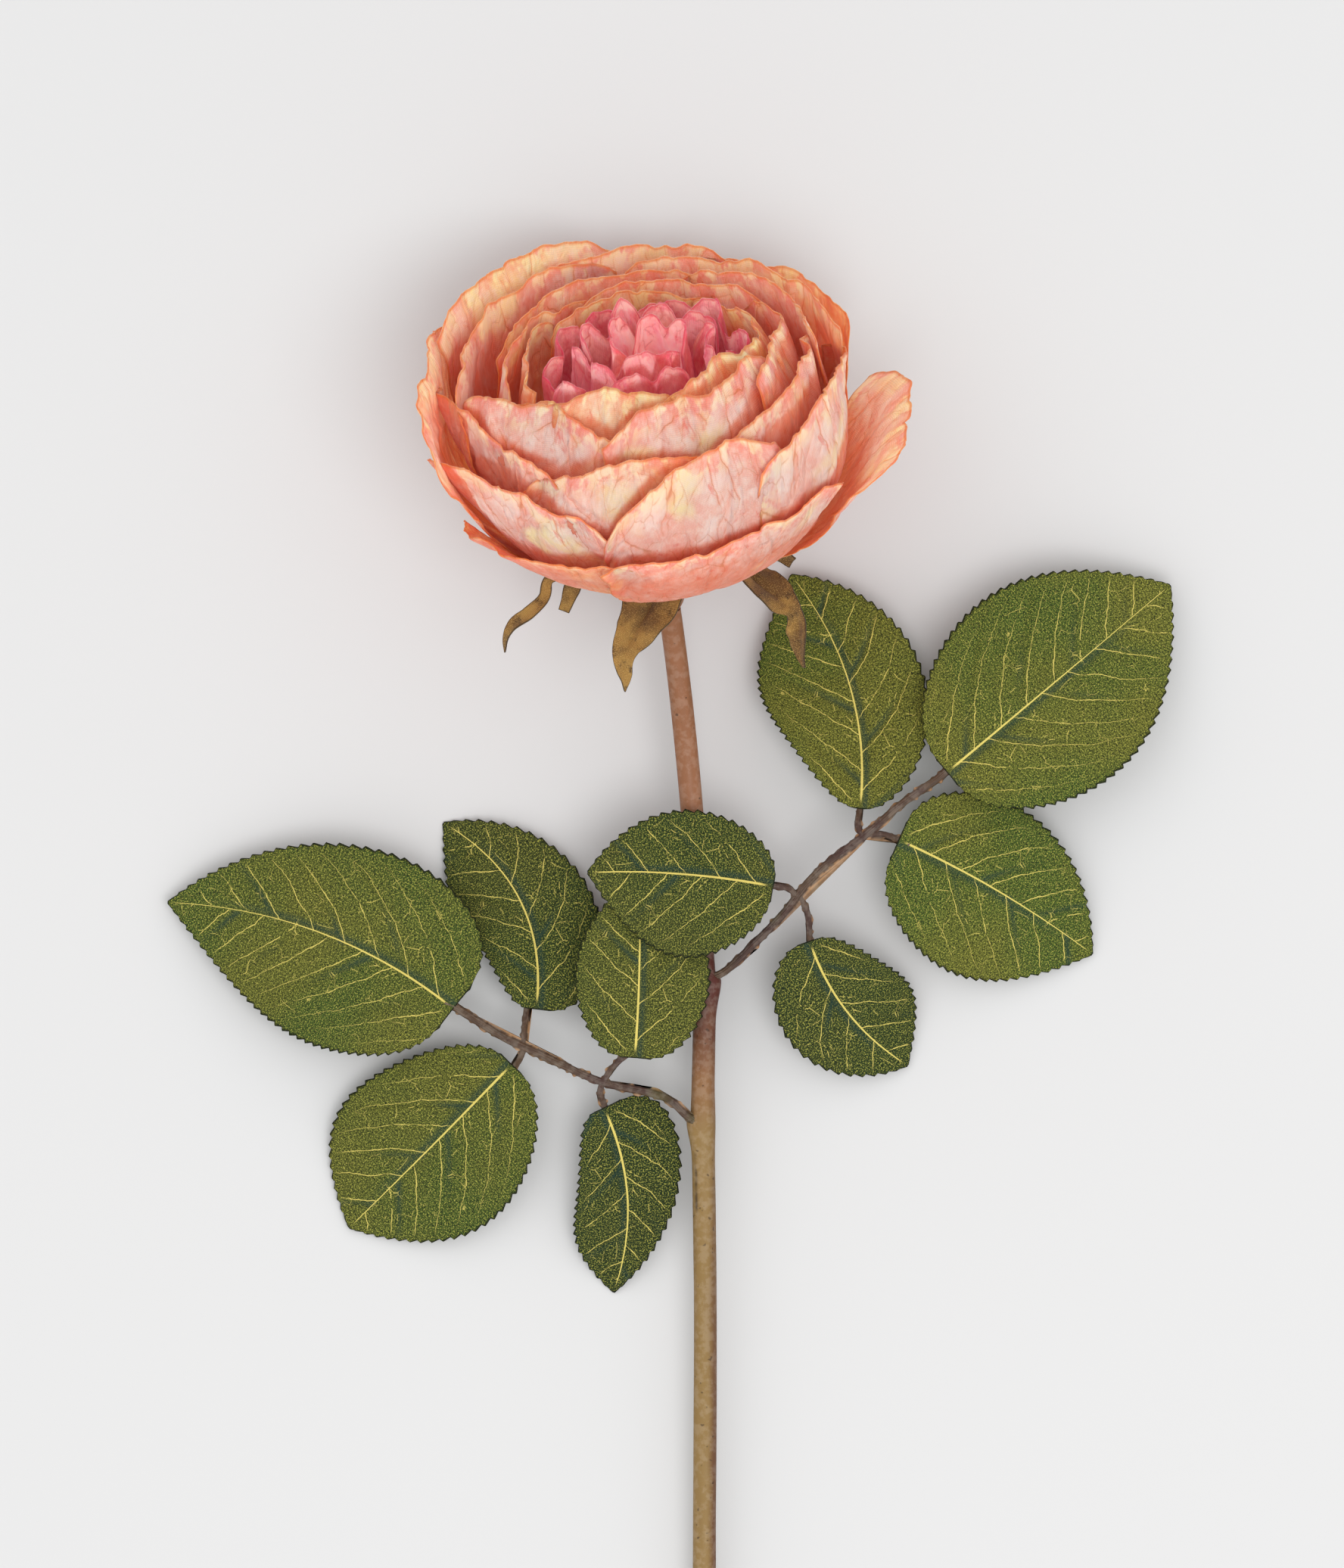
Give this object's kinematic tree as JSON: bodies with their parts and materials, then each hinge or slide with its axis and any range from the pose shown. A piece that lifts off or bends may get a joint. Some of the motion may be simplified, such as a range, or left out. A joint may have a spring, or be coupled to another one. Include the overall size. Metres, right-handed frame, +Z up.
{
  "type": "artificial cut rose",
  "caption": "Artificial rose stem lying on its back: full cabbage-shaped bloom of nested fabric petals, drooping sepals, plastic stem and two compound leaves of serrated fabric leaflets.",
  "frame": {"origin": "under the middle of the whole rose's bounding box, on the surface that it lies on", "axes": "+Y along the stem from the cut end to the flower, +Z up from the surface, +X to the right of the stem seen from above"},
  "size_m": [0.2428, 0.4516, 0.0974],
  "materials": {
    "petal_fabric": "crinkled woven polyester, salmon to peach with cream patches, matt",
    "collar_fabric": "crinkled woven polyester, cream and apricot with coral folds, matt",
    "heart_fabric": "woven polyester, deep rose pink with darker folds, matt",
    "leaf_fabric": "printed woven polyester, olive green with pale yellow veins, satin",
    "sepal_fabric": "woven polyester, olive brown, matt",
    "stem_plastic": "moulded plastic, olive green to reddish tan, satin",
    "stalk_plastic": "moulded plastic, reddish brown with paler moulding edges, matt",
    "receptacle_plastic": "moulded plastic, olive green, matt"
  },
  "bodies": {
    "root": {"leaf_stalk_left": "stalk_plastic", "leaf_stalk_right": "stalk_plastic", "leaflet_left_1": "leaf_fabric", "leaflet_left_2": "leaf_fabric", "leaflet_left_3": "leaf_fabric", "leaflet_left_4": "leaf_fabric", "leaflet_left_5": "leaf_fabric", "leaflet_right_1": "leaf_fabric", "leaflet_right_2": "leaf_fabric", "leaflet_right_3": "leaf_fabric", "leaflet_right_4": "leaf_fabric", "leaflet_right_5": "leaf_fabric", "petal_bud_1": "heart_fabric", "petal_bud_2": "heart_fabric", "petal_bud_3": "heart_fabric", "petal_collar_1": "collar_fabric", "petal_collar_2": "collar_fabric", "petal_collar_3": "collar_fabric", "petal_collar_4": "collar_fabric", "petal_collar_5": "collar_fabric", "petal_core_1": "heart_fabric", "petal_core_2": "heart_fabric", "petal_core_3": "heart_fabric", "petal_core_4": "heart_fabric", "petal_core_5": "heart_fabric", "petal_fourth_1": "petal_fabric", "petal_fourth_2": "petal_fabric", "petal_fourth_3": "petal_fabric", "petal_fourth_4": "petal_fabric", "petal_fourth_5": "petal_fabric", "petal_heart_1": "heart_fabric", "petal_heart_2": "heart_fabric", "petal_heart_3": "heart_fabric", "petal_heart_4": "heart_fabric", "petal_heart_5": "heart_fabric", "petal_outer_1": "petal_fabric", "petal_outer_2": "petal_fabric", "petal_outer_3": "petal_fabric", "petal_outer_4": "petal_fabric", "petal_outer_5": "petal_fabric", "petal_outer_6": "petal_fabric", "petal_outer_7": "petal_fabric", "petal_second_1": "petal_fabric", "petal_second_2": "petal_fabric", "petal_second_3": "petal_fabric", "petal_second_4": "petal_fabric", "petal_second_5": "petal_fabric", "petal_third_1": "petal_fabric", "petal_third_2": "petal_fabric", "petal_third_3": "petal_fabric", "petal_third_4": "petal_fabric", "petal_third_5": "petal_fabric", "receptacle": "receptacle_plastic", "sepal_1": "sepal_fabric", "sepal_2": "sepal_fabric", "sepal_3": "sepal_fabric", "sepal_4": "sepal_fabric", "sepal_5": "sepal_fabric", "stem": "stem_plastic"}
  },
  "joints": []
}
